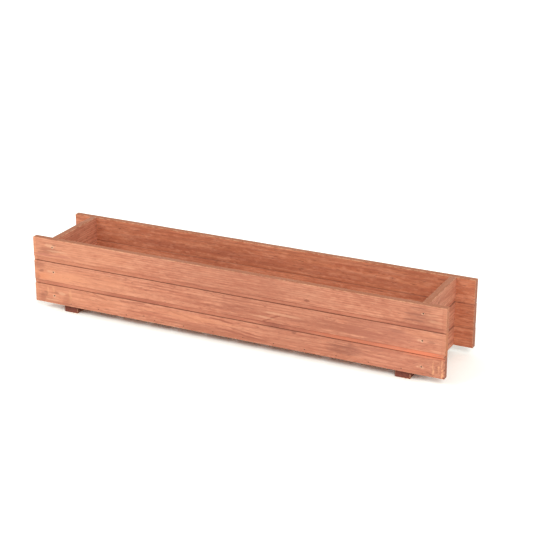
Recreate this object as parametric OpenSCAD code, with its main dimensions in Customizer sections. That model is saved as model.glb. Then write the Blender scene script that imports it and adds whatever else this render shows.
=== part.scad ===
// Elevated wooden planter box, in millimetres.
// X runs along the box, the front wall faces -Y, and the floor it stands on is z = 0.
// The origin is on that floor, under the middle of the box.

/* [Box] */
// Length over the long walls
box_l = 1016; // [700:1:1400]
// Depth over the faces of the two long walls
box_d = 196; // [150:1:320]
// Distance from the ends of the long walls to the faces of the end walls
end_inset = 44; // [20:1:90]

/* [Wall boards] */
// Thickness of a wall board
board_t = 15; // [13:0.5:20]
// Height of a top or middle board
board_h = 57; // [48:1:90]
// Height of the bottom board, which is ripped narrower
bottom_board_h = 45; // [38:1:90]
// Height of the shallow step along a board's lower edge
step_h = 10; // [8:0.5:14]
// Depth of that step behind the face
step_d = 1.5; // [0.5:0.25:2]
// Shadow line left open at the face between two boards
shadow_gap = 1; // [0.5:0.25:2]
// Bevel on the long arrises of a board
arris = 1; // [0.4:0.1:1.5]

/* [Tongue and groove] */
// Thickness of a tongue
tongue_t = 5; // [3.5:0.25:6]
// Height of a tongue over its shoulders
tongue_h = 6; // [4:0.5:7]
// Bevel on the tip of a tongue
tongue_nose = 0.8; // [0.3:0.1:1.2]
// Clearance between each side of a tongue and its groove
tongue_clear = 0.25; // [0.1:0.05:0.5]
// Room over the tip of a tongue
tip_room = 0.8; // [0.3:0.1:1.5]

/* [Floor slats] */
// Width of a floor slat
slat_w = 68; // [50:1:90]
// Thickness of a floor slat
slat_t = 13; // [10:0.5:18]
// Least drainage gap between two slats
drain_gap = 6; // [3:0.5:12]
// Bevel on the upper arrises of a slat
slat_arris = 1; // [0.4:0.1:2]

/* [Feet] */
// Width of a foot, along the box
foot_w = 35; // [26:1:44]
// Height of a foot, which lifts the walls and the floor by as much
foot_h = 20; // [16:1:60]
// Distance from a long wall's face back to the ends of the feet
foot_setback = 12; // [4:0.5:12]
// Distance the left foot sits left of the middle line of its slat
left_foot_shift = 8; // [0:0.5:8]
// Distance the right foot sits left of the middle line of its slat
right_foot_shift = 0.5; // [0:0.5:8]
// Bevel on the lower arrises of a foot
foot_arris = 1; // [0.5:0.25:4]

/* [Nails] */
// Diameter of a wall nail's shank
nail_d = 2; // [1.6:0.1:2.8]
// Diameter of a wall nail's head
nail_head_d = 3.4; // [3:0.1:5]
// Thickness of a nail's head
nail_head_t = 1; // [0.6:0.1:1.4]
// Depth a wall nail goes into the end board behind
nail_bite = 23; // [15:1:35]
// Depth a nail's head is punched below the surface
nail_sink = 0.5; // [0.2:0.1:1]
// Distance of the nail in a bottom board above that board's lower edge
nail_up_bottom = 19.5; // [15:0.5:30]
// Distance of the nail in a middle board above that board's lower edge
nail_up_middle = 33.5; // [15:0.5:38]
// Distance of the nail in a top board above that board's lower edge
nail_up_top = 37.5; // [15:0.5:38]
// Diameter of a floor pin's shank
pin_d = 1.4; // [1:0.1:2]
// Diameter of a floor pin's head
pin_head_d = 2.2; // [2.2:0.1:3.5]
// Depth a floor pin goes into the end of its slat
pin_bite = 17; // [12:1:30]
// Depth a foot nail goes into the foot under its slat
foot_nail_bite = 14; // [8:1:15]
// Distance of a foot nail from the middle of the foot
foot_nail_y = 50; // [30:1:60]
// Clearance round a nail in its hole
nail_clear = 0.05; // [0.02:0.01:0.1]

/* [Hidden] */
// Courses of boards in every wall, from the bottom up
COURSES = ["bottom", "middle", "top"];
course_h = [bottom_board_h, board_h, board_h];
course_up = [0, bottom_board_h, bottom_board_h + board_h];
nail_up = [nail_up_bottom, nail_up_middle, nail_up_top];
last_course = len(COURSES) - 1;

// Space between the walls
inner_l = box_l - 2 * (end_inset + board_t);
inner_d = box_d - 2 * board_t;
end_nail_x = box_l / 2 - end_inset - board_t / 2;

// Tongue and groove, measured from the face inwards
tongue_front = (board_t - tongue_t) / 2;
tongue_back = (board_t + tongue_t) / 2;
groove_front = tongue_front - tongue_clear;
groove_back = tongue_back + tongue_clear;
groove_top = tongue_h + tip_room;

// Floor slats share the length between the end walls evenly, and the outer two stand on the feet
slat_count = floor(inner_l / (slat_w + drain_gap));
last_slat = slat_count - 1;
slat_pitch = inner_l / slat_count;

foot_l = box_d - 2 * foot_setback;

wood = "#D08C68";
wood_light = "#DB9A75";
wood_floor = "#B9795A";
wood_dark = "#7A4434";
steel = "#8C8880";
$fn = 32;

// Middle line of a slat, counted from 0 at the left end
function slat_x(i) = -inner_l / 2 + (i + 0.5) * slat_pitch;

// Middle line of the left foot (-1) or the right foot (1)
function foot_x(side) = side < 0 ? slat_x(0) - left_foot_shift : slat_x(last_slat) - right_foot_shift;

// Lower edge of a board, from its face to its back: plain, or grooved under a stepped face
function lower_edge(grooved) = grooved
    ? [[0, step_h], [step_d, step_h],
       [step_d, shadow_gap + arris], [step_d + arris / 2, shadow_gap], [groove_front, shadow_gap],
       [groove_front, groove_top], [groove_back, groove_top], [groove_back, 0],
       [board_t - arris / 2, 0], [board_t, arris / 2]]
    : [[0, arris], [arris, 0], [board_t - arris, 0], [board_t, arris]];

// Upper edge of a board, from its back to its face: plain, or with a tongue between two shoulders
function upper_edge(h, tongued) = tongued
    ? [[board_t, h - arris / 2], [board_t - arris / 2, h], [tongue_back, h],
       [tongue_back, h + tongue_h - tongue_nose], [tongue_back - tongue_nose, h + tongue_h],
       [tongue_front + tongue_nose, h + tongue_h], [tongue_front, h + tongue_h - tongue_nose],
       [tongue_front, h], [arris, h], [0, h - arris]]
    : [[board_t, h - arris], [board_t - arris, h], [arris, h], [0, h - arris]];

// A board of one course, standing on z = 0 with its face on y = 0 and its middle on x = 0
module board_blank(length, course)
    translate([-length / 2, 0, 0])
        rotate([90, 0, 90])
            linear_extrude(length)
                polygon(concat(lower_edge(course > 0), upper_edge(course_h[course], course < last_course)));

// Puts a blank in its course, with its face a given distance in front of the middle of the box
module in_course(course, face)
    translate([0, -face, foot_h + course_up[course]])
        children();

// A nail that points along +Y, with its head punched below the surface y = 0 and its tip at y = reach
module nail(reach, shank_d, head_d, clear = 0)
    translate([0, nail_sink, 0])
        rotate([-90, 0, 0]) {
            cylinder(d = shank_d + 2 * clear, h = reach - nail_sink + clear);
            cylinder(d = head_d + 2 * clear, h = nail_head_t + clear);
            if (clear > 0)
                translate([0, 0, -2 * nail_sink])
                    cylinder(d = head_d + 2 * clear, h = 2 * nail_sink + nail_head_t);
        }

// One nail at each end of every board in the front wall
module wall_nails(clear = 0)
    for (side = [-1, 1], course = [0:last_course])
        translate([side * end_nail_x, -box_d / 2, foot_h + course_up[course] + nail_up[course]])
            nail(board_t + nail_bite, nail_d, nail_head_d, clear);

// One pin through the front wall into the end of every floor slat
module floor_pins(clear = 0)
    for (i = [0:last_slat])
        translate([slat_x(i), -box_d / 2, foot_h + slat_t / 2])
            nail(board_t + pin_bite, pin_d, pin_head_d, clear);

// Two nails down through each outer slat into the foot beneath
module nails_into_feet(clear = 0)
    for (side = [-1, 1], end = [-1, 1])
        translate([foot_x(side), end * foot_nail_y, foot_h + slat_t])
            rotate([-90, 0, 0])
                nail(slat_t + foot_nail_bite, nail_d, nail_head_d, clear);

module long_board(course)
    color(course == 1 ? wood_light : wood)
        difference() {
            in_course(course, box_d / 2)
                board_blank(box_l, course);
            wall_nails(nail_clear);
            floor_pins(nail_clear);
        }

module end_board(course)
    color(course == 1 ? wood : wood_light)
        difference() {
            rotate([0, 0, -90])
                in_course(course, box_l / 2 - end_inset)
                    board_blank(inner_d, course);
            wall_nails(nail_clear);
            mirror([0, 1, 0])
                wall_nails(nail_clear);
        }

// End view of a slat or a foot, from z = 0 up, with bevels of their own on the lower and upper arrises
module eased_section(w, h, lower, upper)
    polygon([[-w / 2 + lower, 0], [w / 2 - lower, 0], [w / 2, lower], [w / 2, h - upper],
             [w / 2 - upper, h], [-w / 2 + upper, h], [-w / 2, h - upper], [-w / 2, lower]]);

// A length of eased section that runs front to back across the middle of the box
module crosspiece(length, w, h, lower, upper)
    translate([0, length / 2, 0])
        rotate([90, 0, 0])
            linear_extrude(length)
                eased_section(w, h, lower, upper);

module floor_slat(i)
    color(wood_floor)
        difference() {
            translate([slat_x(i), 0, foot_h])
                crosspiece(inner_d, slat_w, slat_t, slat_arris / 2, slat_arris);
            floor_pins(nail_clear);
            mirror([0, 1, 0])
                floor_pins(nail_clear);
            nails_into_feet(nail_clear);
        }

module foot(side)
    color(wood_dark)
        difference() {
            translate([foot_x(side), 0, 0])
                crosspiece(foot_l, foot_w, foot_h, foot_arris, slat_arris / 2);
            nails_into_feet(nail_clear);
        }

module front_wall_nails()
    color(steel)
        wall_nails();

module rear_wall_nails()
    mirror([0, 1, 0])
        front_wall_nails();

module front_floor_pins()
    color(steel)
        floor_pins();

module rear_floor_pins()
    mirror([0, 1, 0])
        front_floor_pins();

module foot_nails()
    color(steel)
        nails_into_feet();

for (course = [0:last_course]) {
    long_board(course);
    mirror([0, 1, 0]) long_board(course);
    end_board(course);
    mirror([1, 0, 0]) end_board(course);
}
for (i = [1:last_slat - 1])
    floor_slat(i);
floor_slat(0);  // left_foot_slat
floor_slat(last_slat);  // right_foot_slat
foot(-1);  // left_foot
foot(1);  // right_foot
front_wall_nails();
rear_wall_nails();
front_floor_pins();
rear_floor_pins();
foot_nails();
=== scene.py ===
# %% [markdown]
# # A raised wooden planter box
# The real object is a long, low box of stained softwood. Each wall is three tongue-and-groove boards, the
# floor is twelve slats with gaps that let water out, and two battens under the outer slats keep the box off
# the ground.
#
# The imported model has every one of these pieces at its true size, with plain flat sides. This lesson gives
# them the planed and worn surfaces, the stain, the nails and the light, and leaves every piece where the
# model has it.

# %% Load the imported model
import math

import bmesh
import bpy
from mathutils import Euler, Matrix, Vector


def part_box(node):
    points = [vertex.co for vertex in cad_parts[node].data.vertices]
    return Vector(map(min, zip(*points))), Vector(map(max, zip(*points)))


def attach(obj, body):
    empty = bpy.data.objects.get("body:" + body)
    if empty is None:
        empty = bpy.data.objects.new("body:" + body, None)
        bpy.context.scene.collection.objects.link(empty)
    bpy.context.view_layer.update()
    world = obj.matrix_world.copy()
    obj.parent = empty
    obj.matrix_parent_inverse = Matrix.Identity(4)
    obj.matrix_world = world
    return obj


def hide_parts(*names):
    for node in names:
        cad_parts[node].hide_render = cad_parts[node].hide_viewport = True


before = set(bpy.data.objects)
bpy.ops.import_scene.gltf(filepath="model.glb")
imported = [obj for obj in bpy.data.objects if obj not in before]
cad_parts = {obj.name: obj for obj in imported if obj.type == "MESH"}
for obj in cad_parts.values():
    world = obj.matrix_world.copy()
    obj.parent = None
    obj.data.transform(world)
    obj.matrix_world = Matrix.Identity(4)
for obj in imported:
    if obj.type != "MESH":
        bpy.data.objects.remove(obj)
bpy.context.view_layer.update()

# %% [markdown]
# ## Camera
# The view looks down on the box from the front and a little to its right, with a long lens, so that its
# long edges run almost parallel. A camera could be aimed with a constraint, but a fixed place and two
# angles are easier to repeat, and they come from a fit to the box's own edges.

# %% Camera
EYE = (1.4529, -2.8594, 1.3632)
LOOK_DOWN, LOOK_LEFT = 20.77, 26.03
LENS_MM = 101.87

aim = (math.radians(90 - LOOK_DOWN), 0, math.radians(LOOK_LEFT))
bpy.ops.object.camera_add(location=EYE, rotation=aim)
camera = bpy.context.object
camera.data.lens = LENS_MM
bpy.context.scene.camera = camera
print("camera", round(Vector(EYE).length, 2), "m from the floor under the middle of the box")

# %% [markdown]
# ## Small tools for modelling
# Modelling by hand means picking something, then pushing it. With a mouse that is a click. Here a test on
# the middle of a face, an edge or a point does the picking, and Blender's own operators do the pushing. An
# operator works on all that is selected, so each step first says exactly what that is.

# %% Modelling helpers
def only(*objects):
    """Selects just these objects and makes the first one active."""
    bpy.ops.object.select_all(action="DESELECT")
    for each in objects:
        each.select_set(True)
    bpy.context.view_layer.objects.active = objects[0]


def pick(kind, test):
    """In edit mode, selects the verts, edges or faces whose middle passes a test, and counts them."""
    bpy.ops.mesh.select_mode(type={"verts": "VERT", "edges": "EDGE", "faces": "FACE"}[kind])
    bpy.ops.mesh.select_all(action="DESELECT")
    mesh = bmesh.from_edit_mesh(bpy.context.object.data)
    chosen = []
    for each in getattr(mesh, kind):
        corners = [each] if kind == "verts" else each.verts
        if test(sum((corner.co for corner in corners), Vector()) / len(corners)):
            chosen.append(each)
    for each in chosen:
        each.select_set(True)
    bmesh.update_edit_mesh(bpy.context.object.data)
    return len(chosen)


def cut(axis, place):
    """In edit mode, cuts the whole mesh along a plane square to x, y or z."""
    normal = [float(axis == name) for name in "xyz"]
    bpy.ops.mesh.select_all(action="SELECT")
    bpy.ops.mesh.bisect(plane_co=[n * place for n in normal], plane_no=normal)


def pull(dx=0.0, dy=0.0, dz=0.0):
    """In edit mode, extrudes what is selected."""
    bpy.ops.mesh.extrude_region_move(TRANSFORM_OT_translate={"value": (dx, dy, dz)})


def finish_with(piece, kind, **settings):
    """Adds a modifier to a piece and applies it."""
    only(piece)
    modifier = piece.modifiers.new(kind.lower(), kind)
    for key, value in settings.items():
        setattr(modifier, key, value)
    bpy.ops.object.modifier_apply(modifier=modifier.name)


def copy_to(blank, name, place=(0, 0, 0), turn=(0, 0, 0)):
    """Copies a blank with its own mesh, turns and moves it, and applies its place to the mesh."""
    piece = blank.copy()
    piece.data = blank.data.copy()
    piece.name = name
    bpy.context.scene.collection.objects.link(piece)
    piece.location = place
    piece.rotation_euler = [math.radians(a) for a in turn]
    only(piece)
    bpy.ops.object.transform_apply(location=True, rotation=True, scale=True)
    return piece


# %% [markdown]
# ## The section of a wall board
# A wall board is planed with a tongue along its upper edge and a groove along its lower one. Over the
# groove its face steps back by a millimetre and a half, and it stops a millimetre short of the board below,
# which leaves the dark line and the narrow band that run along the wall. These lines could be painted on a
# flat wall, but they catch light and shade as real edges do only if they are real.
#
# So the end view of a board is drawn first: a plate is cut along every line of the outline, the cells that
# are air are deleted, the tongue is pulled up out of the top edge, and the corners are rounded as a plane
# and sandpaper leave them. Then the outline is pulled out to a board's length.

# %% Draw a section and pull it out to a board
STEP_H, STEP_D = 0.010, 0.0015  # the step in the face
SHADOW_GAP = 0.001  # between the stepped face and the board below
TONGUE_T, TONGUE_H = 0.005, 0.006
TONGUE_CLEAR, TIP_ROOM = 0.00025, 0.0008  # beside the tongue and over its tip
FACE_ROUND, BACK_ROUND, STEP_ROUND, NOSE_ROUND, END_ROUND = 0.0013, 0.0009, 0.0006, 0.0008, 0.0003
SPECK = 0.0001  # places nearer than this count as one
FLAT = math.radians(1)


def round_corners(radius, test, segments=3):
    """In edit mode, rounds the picked corners of a flat outline."""
    if pick("verts", test):
        bpy.ops.mesh.bevel(offset=radius, segments=segments, affect="VERTICES")


def plate(name, thick, height, x):
    """A flat plate square to X, with one corner on y = 0 and z = 0, left in edit mode."""
    bpy.ops.object.select_all(action="DESELECT")
    middle = (x, thick / 2, height / 2)
    bpy.ops.mesh.primitive_plane_add(size=1, location=middle, rotation=(0, math.radians(90), 0))
    blank = bpy.context.object
    blank.name = name
    blank.scale = (height, thick, 1)
    bpy.ops.object.transform_apply(location=True, rotation=True, scale=True)
    bpy.ops.object.mode_set(mode="EDIT")
    return blank


def merge_flat_cells():
    """In edit mode, dissolves every line that bends nothing."""
    bpy.ops.mesh.select_all(action="SELECT")
    bpy.ops.mesh.dissolve_limited(angle_limit=FLAT)


def pull_to_length(length):
    """Pulls a finished outline out along X, eases the arrises of its two ends, and leaves edit mode."""
    merge_flat_cells()
    bpy.ops.mesh.select_all(action="SELECT")
    pull(dx=length)
    bpy.ops.mesh.select_all(action="SELECT")
    bpy.ops.mesh.normals_make_consistent(inside=False)
    pick("edges", lambda m: abs(m.x) > length / 2 - SPECK)
    bpy.ops.mesh.bevel(offset=END_ROUND, segments=2, affect="EDGES")
    bpy.ops.object.mode_set(mode="OBJECT")


def board_blank(name, length, thick, height, grooved, tongued):
    """A wall board along X with its middle at x = 0, its face on y = 0 and its lower edge on z = 0."""
    blank = plate(name, thick, height, -length / 2)
    tongue = ((thick - TONGUE_T) / 2, (thick + TONGUE_T) / 2)
    groove = (tongue[0] - TONGUE_CLEAR, tongue[1] + TONGUE_CLEAR)
    groove_top = TONGUE_H + TIP_ROOM

    def is_air(m):
        in_step = m.y < STEP_D and m.z < STEP_H
        in_gap = m.y < groove[0] and m.z < SHADOW_GAP
        in_groove = groove[0] < m.y < groove[1] and m.z < groove_top
        return in_step or in_gap or in_groove

    if grooved:
        for place in (STEP_D, *groove):
            cut("y", place)
        for place in (SHADOW_GAP, STEP_H, groove_top):
            cut("z", place)
        pick("faces", is_air)
        bpy.ops.mesh.delete(type="FACE")
    if tongued:
        for place in tongue:
            cut("y", place)
        pick("edges", lambda m: tongue[0] < m.y < tongue[1] and m.z > height - SPECK)
        pull(dz=TONGUE_H)
    merge_flat_cells()
    face_low = STEP_H if grooved else 0.0
    round_corners(FACE_ROUND, lambda v: v.y < SPECK and v.z > height - SPECK)
    round_corners(STEP_ROUND, lambda v: v.y < SPECK and v.z < face_low + SPECK)
    round_corners(STEP_ROUND, lambda v: grooved and abs(v.y - STEP_D) < SPECK and v.z < SHADOW_GAP + SPECK)
    round_corners(BACK_ROUND, lambda v: v.y > thick - SPECK)
    round_corners(NOSE_ROUND, lambda v: v.z > height + TONGUE_H - SPECK, segments=2)
    pull_to_length(length)
    return blank


# %% [markdown]
# ## A net of faces for the wear
# Planed boards are never quite flat: the plane leaves low waves, the summer wood stands a little proud, and
# knocks round the arrises off unevenly. Noise can only move points that are there, so each blank is first
# cut into small cells. Subdivision would also round its edges, so plane cuts are used, which leave every
# outline as it was drawn.

# %% Cut a blank into cells
CELL_ALONG, CELL_ACROSS = 0.0065, 0.0027


def cut_into_cells(blank):
    """Cuts a blank at even steps along its length, its height and its thickness."""
    only(blank)
    bpy.ops.object.mode_set(mode="EDIT")
    for axis, step in (("x", CELL_ALONG), ("z", CELL_ACROSS), ("y", CELL_ACROSS)):
        places = [getattr(v.co, axis) for v in blank.data.vertices]
        start, end = min(places), max(places)
        count = round((end - start) / step)
        for i in range(1, count):
            cut(axis, start + (end - start) * i / count)
    bpy.ops.object.mode_set(mode="OBJECT")


print("cells of", CELL_ALONG * 1000, "by", CELL_ACROSS * 1000, "mm")

# %% [markdown]
# ## Nails and their holes
# A wall nail goes through the face of a long board into the end grain of the end board behind it, and a
# thinner pin goes into the end of each floor slat. Each is punched half a millimetre below the surface, so
# a small round shadow shows at every one. A nail is a turned shape, so it is drawn as steps of radius and
# depth, each pulled out of the last. The same steps, a little wider, make the drill that takes the hole out
# of a board.

# %% Turn a nail and a drill
HEAD_R, SHANK_R, PIN_HEAD_R, PIN_R = 0.0017, 0.0010, 0.0011, 0.0007
HEAD_T, SINK, HOLE_CLEAR = 0.0010, 0.0005, 0.00005
NECK = HEAD_T * 1.5  # where the cone under the head ends
POINT_L, TIP_R = 0.003, 0.0002
CRUSH_W, CRUSH_D = 0.0007, 0.0004  # the rim that the punch crushes


def turned(name, steps, sides=16):
    """A closed round piece along +Z, drawn as (radius, height) steps."""
    bpy.ops.object.select_all(action="DESELECT")
    radius, height = steps[0]
    bpy.ops.mesh.primitive_circle_add(vertices=sides, radius=radius, fill_type="NGON",
                                      location=(0, 0, height))
    piece = bpy.context.object
    piece.name = name
    bpy.ops.object.transform_apply(location=True, rotation=True, scale=True)
    bpy.ops.object.mode_set(mode="EDIT")
    bpy.ops.mesh.select_all(action="SELECT")
    for next_radius, next_height in steps[1:]:
        pull(dz=next_height - height)
        factor = next_radius / radius
        bpy.ops.transform.resize(value=(factor, factor, 1), center_override=(0, 0, next_height))
        radius, height = next_radius, next_height
    bpy.ops.mesh.select_all(action="SELECT")
    bpy.ops.mesh.normals_make_consistent(inside=False)
    bpy.ops.object.mode_set(mode="OBJECT")
    return piece


def nail_blank(name, head_r, shank_r, reach):
    """A nail with its head's face on z = 0 and its point at z = reach."""
    head = [(head_r * 0.6, 0), (head_r, HEAD_T * 0.25), (head_r, HEAD_T * 0.7), (head_r * 0.8, HEAD_T)]
    return turned(name, [*head, (shank_r, NECK), (shank_r, reach - POINT_L), (TIP_R, reach)])


def drill_blank(name, head_r, shank_r, reach):
    """The room of a punched nail in wood whose surface is z = 0: a crushed mouth, a seat and a shank."""
    seat = SINK + NECK + HOLE_CLEAR
    mouth = [(head_r + CRUSH_W, -CRUSH_D), (head_r + CRUSH_W, 0), (head_r + HOLE_CLEAR, CRUSH_D)]
    return turned(name, [*mouth, (head_r + HOLE_CLEAR, seat), (shank_r + HOLE_CLEAR, seat),
                         (shank_r + HOLE_CLEAR, reach)])


def shank_drill(name, shank_r, depth):
    """The room of a shank that comes in from another piece."""
    return turned(name, [(shank_r + HOLE_CLEAR, -SINK), (shank_r + HOLE_CLEAR, depth)])


def bore(blank, drill, seats):
    """Drills a blank at (place, turn) seats, all in one cut."""
    bits = [copy_to(drill, "bit", place, turn) for place, turn in seats]
    only(*bits)
    bpy.ops.object.join()
    cutter = bpy.context.object
    finish_with(blank, "BOOLEAN", operation="DIFFERENCE", solver="EXACT", object=cutter)
    bpy.data.objects.remove(cutter)


# %% [markdown]
# ## The six kinds of wall board
# The front wall repeats as the rear wall and the left end as the right one, so only the boards of one long
# wall and one end wall are modelled. Their sizes come from the model's own boxes, and so do the places of
# the nails and slats. The nails sit at heights of their own in each course, because whoever nailed the box
# together only aimed for the middle of each board.

# %% Measure the nails and slats
COURSES = ("bottom", "middle", "top")
NAIL_UP = {"bottom": 0.0195, "middle": 0.0335, "top": 0.0375}


def size_of(node):
    """A node's size along X, Y and Z."""
    lowest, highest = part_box(node)
    return highest - lowest


def middle_x(node):
    """Where a node's middle is along X."""
    return sum(corner.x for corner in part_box(node)) / 2


def body_height(wall, course):
    """A wall board's height without its tongue."""
    return size_of(f"{wall}_board_{course}").z - (0 if course == "top" else TONGUE_H)


nails_low, nails_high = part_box("front_wall_nails")
wall_nail_x = nails_high.x - HEAD_R
wall_nail_reach = nails_high.y - nails_low.y + SINK
pins_low, pins_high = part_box("front_floor_pins")
pin_reach = pins_high.y - pins_low.y + SINK
pin_up = (pins_low.z + pins_high.z) / 2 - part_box("front_board_bottom")[0].z
slat_nodes = ["left_foot_slat", *(f"floor_slat_{i}" for i in range(1, 11)), "right_foot_slat"]
slat_x = [middle_x(node) for node in slat_nodes]
print("wall nails", round(wall_nail_reach * 1000, 1), "mm deep, pins", round(pin_reach * 1000, 1), "mm deep")

# %% Model the wall boards
INTO_FACE = (-90, 0, 0)
INTO_LEFT_END, INTO_RIGHT_END = (0, 90, 0), (0, -90, 0)
THROUGH = 0.020  # deeper than a wall board is thick


def end_seats(length, y, up):
    """Seats in both ends of a piece that lies along X."""
    return [((-length / 2, y, up), INTO_LEFT_END), ((length / 2, y, up), INTO_RIGHT_END)]


wall_drill = drill_blank("wall_drill", HEAD_R, SHANK_R, THROUGH)
pin_drill = drill_blank("pin_drill", PIN_HEAD_R, PIN_R, THROUGH)
end_drill = shank_drill("end_drill", SHANK_R, wall_nail_reach - size_of("front_board_middle").y)

blanks = {}
for course in COURSES:
    up = NAIL_UP[course]
    for wall in ("front", "left_end"):
        size = size_of(f"{wall}_board_{course}")
        length, thick, height = max(size.x, size.y), min(size.x, size.y), body_height(wall, course)
        grooved, tongued = course != "bottom", course != "top"
        blank = board_blank(f"{wall}_{course}_blank", length, thick, height, grooved, tongued)
        if wall == "front":
            bore(blank, wall_drill, [((side * wall_nail_x, 0, up), INTO_FACE) for side in (-1, 1)])
        else:
            bore(blank, end_drill, end_seats(length, thick / 2, up))
        if (wall, course) == ("front", "bottom"):
            bore(blank, pin_drill, [((x, 0, pin_up), INTO_FACE) for x in slat_x])
        cut_into_cells(blank)
        blanks[wall, course] = blank
        sizes = [round(v * 1000, 1) for v in (length, thick, height)]
        print(blank.name, sizes, "mm,", len(blank.data.polygons), "faces")

# %% [markdown]
# ## Floor slats and feet
# The slats are plain strips with eased edges, and the feet are short battens, rounder underneath where they
# are dragged about. Both run from front to back. They are drawn lying along X like the wall boards, so that
# the same steps work, and are turned when they are placed. The two outer slats have holes for the nails
# that hold the feet.

# %% Model the slats and the feet
SLAT_ROUND, SLAT_LOW_ROUND = 0.0012, 0.0006
FOOT_LOW_ROUND, FOOT_ROUND = 0.0012, 0.0008
FOOT_NAIL_Y = 0.050
INTO_TOP = (180, 0, 0)


def strip_blank(name, node, upper_round, lower_round):
    """A plain strip for a node that runs front to back, drawn along X."""
    size = size_of(node)
    blank = plate(name, size.x, size.z, -size.y / 2)
    round_corners(upper_round, lambda v: v.z > size.z - SPECK)
    round_corners(lower_round, lambda v: v.z < SPECK, segments=4)
    pull_to_length(size.y)
    return blank


def top_seats(across, height):
    """Seats for the two nails that go down through an outer slat, or into the foot below it."""
    return [((y, across, height), INTO_TOP) for y in (-FOOT_NAIL_Y, FOOT_NAIL_Y)]


slat_size, foot_size = size_of("floor_slat_1"), size_of("left_foot")
foot_nails_low, foot_nails_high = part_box("foot_nails")
slat_drill = shank_drill("slat_drill", PIN_R, pin_reach - size_of("front_board_bottom").y)
foot_drill = shank_drill("foot_drill", SHANK_R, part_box("left_foot")[1].z - foot_nails_low.z)

for node in ("floor_slat_1", "left_foot_slat", "right_foot_slat"):
    blanks[node] = strip_blank(node + "_blank", node, SLAT_ROUND, SLAT_LOW_ROUND)
    bore(blanks[node], slat_drill, end_seats(slat_size.y, slat_size.x / 2, pin_up))
for foot in ("left_foot", "right_foot"):
    from_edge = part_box(foot + "_slat")[1].x - middle_x(foot)
    bore(blanks[foot + "_slat"], wall_drill, top_seats(from_edge, slat_size.z))
blanks["foot"] = strip_blank("foot_blank", "left_foot", FOOT_ROUND, FOOT_LOW_ROUND)
bore(blanks["foot"], foot_drill, top_seats(foot_size.x / 2, foot_size.z))
for node in ("floor_slat_1", "left_foot_slat", "right_foot_slat", "foot"):
    cut_into_cells(blanks[node])
    print(blanks[node].name, len(blanks[node].data.polygons), "faces")

# %% [markdown]
# ## Wear in the surface itself
# Three things happen to the surface. The plane leaves long low waves, the grain stands up in fine ridges
# that run along the board, and the arrises lose small chips. Displace modifiers do all three, each with its
# own noise and its own group of points. The tongues and grooves belong to no group, so the joints stay as
# they were cut.

# %% Noise for the wear
WAVE_SIZE, WAVE_DEPTH = 0.016, 0.0003
RIDGE_SIZE, RIDGE_DEPTH = 0.0045, 0.0002
CHIP_SIZE, CHIP_DEPTH = 0.008, 0.0004


def wear_noise(name, size, contrast=1.0, brightness=1.0):
    """A cloudy texture with features of a size."""
    texture = bpy.data.textures.new(name, type="CLOUDS")
    texture.noise_scale = size
    texture.noise_depth = 2
    texture.contrast = contrast
    texture.intensity = brightness
    return texture


waves = wear_noise("waves", WAVE_SIZE)
ridges = wear_noise("ridges", RIDGE_SIZE, contrast=1.6)
chips = wear_noise("chips", CHIP_SIZE, contrast=3.0, brightness=0.62)
chips.use_clamp = True
print("in mm: waves", WAVE_DEPTH * 1000, "ridges", RIDGE_DEPTH * 1000, "chips", CHIP_DEPTH * 1000)

# %% Groups of points for the wear
ARRIS_REACH = 0.0015


def near_ends(value, size, reach):
    """Tells whether a value lies within reach of 0 or of a size."""
    return value < reach or value > size - reach


def board_tests(thick, top):
    """Tests for the points on a wall board's sides, and for those on the arrises of its face."""
    def on_side(v):
        return v.y < STEP_D + SPECK or v.y > thick - SPECK

    def on_arris(v):
        return v.y < ARRIS_REACH and near_ends(v.z, top, ARRIS_REACH)

    return on_side, on_arris


def strip_tests(thick, top, underside):
    """Tests for the points on a strip's sides, with its underside or without, and on its long arrises."""
    def on_side(v):
        return near_ends(v.y, thick, SPECK) or v.z > top - SPECK or (underside and v.z < SPECK)

    def on_arris(v):
        return near_ends(v.y, thick, ARRIS_REACH) and near_ends(v.z, top, ARRIS_REACH)

    return on_side, on_arris


def mark_group(blank, name, test):
    """Puts the points of a blank that pass a test in a named vertex group."""
    only(blank)
    bpy.ops.object.mode_set(mode="EDIT")
    count = pick("verts", test)
    group = blank.vertex_groups.new(name=name)
    blank.vertex_groups.active = group
    bpy.ops.object.vertex_group_assign()
    bpy.ops.object.mode_set(mode="OBJECT")
    return count


for key, blank in blanks.items():
    _, thick, top = blank.bound_box[6]
    if isinstance(key, tuple):
        on_side, on_arris = board_tests(thick, body_height(*key))
    else:
        on_side, on_arris = strip_tests(thick, top, underside=key != "foot")
    sides, arrises = mark_group(blank, "sides", on_side), mark_group(blank, "arrises", on_arris)
    print(blank.name, "has", sides, "points on its sides and", arrises, "on its arrises")

# %% [markdown]
# ## Wearing and dressing one piece
# Noise in space wears two pieces alike only if they lie in the same part of it, so each piece takes its
# noise from another place. An empty holds that place, and as it is twelve times longer than it is wide, it
# also stretches the noise along the grain. Once a piece is worn, it takes the place of its plain node.

# %% Place and wear one piece
GRAIN_STRETCH = 12
NOISE_STEP = (0.731, 0.397, 0.213)  # from one piece to the next
WOOD_CREASE = 32  # arrises that turn by more degrees stay sharp

bpy.ops.object.empty_add(location=(0, 0, 0))
guide = bpy.context.object


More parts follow.
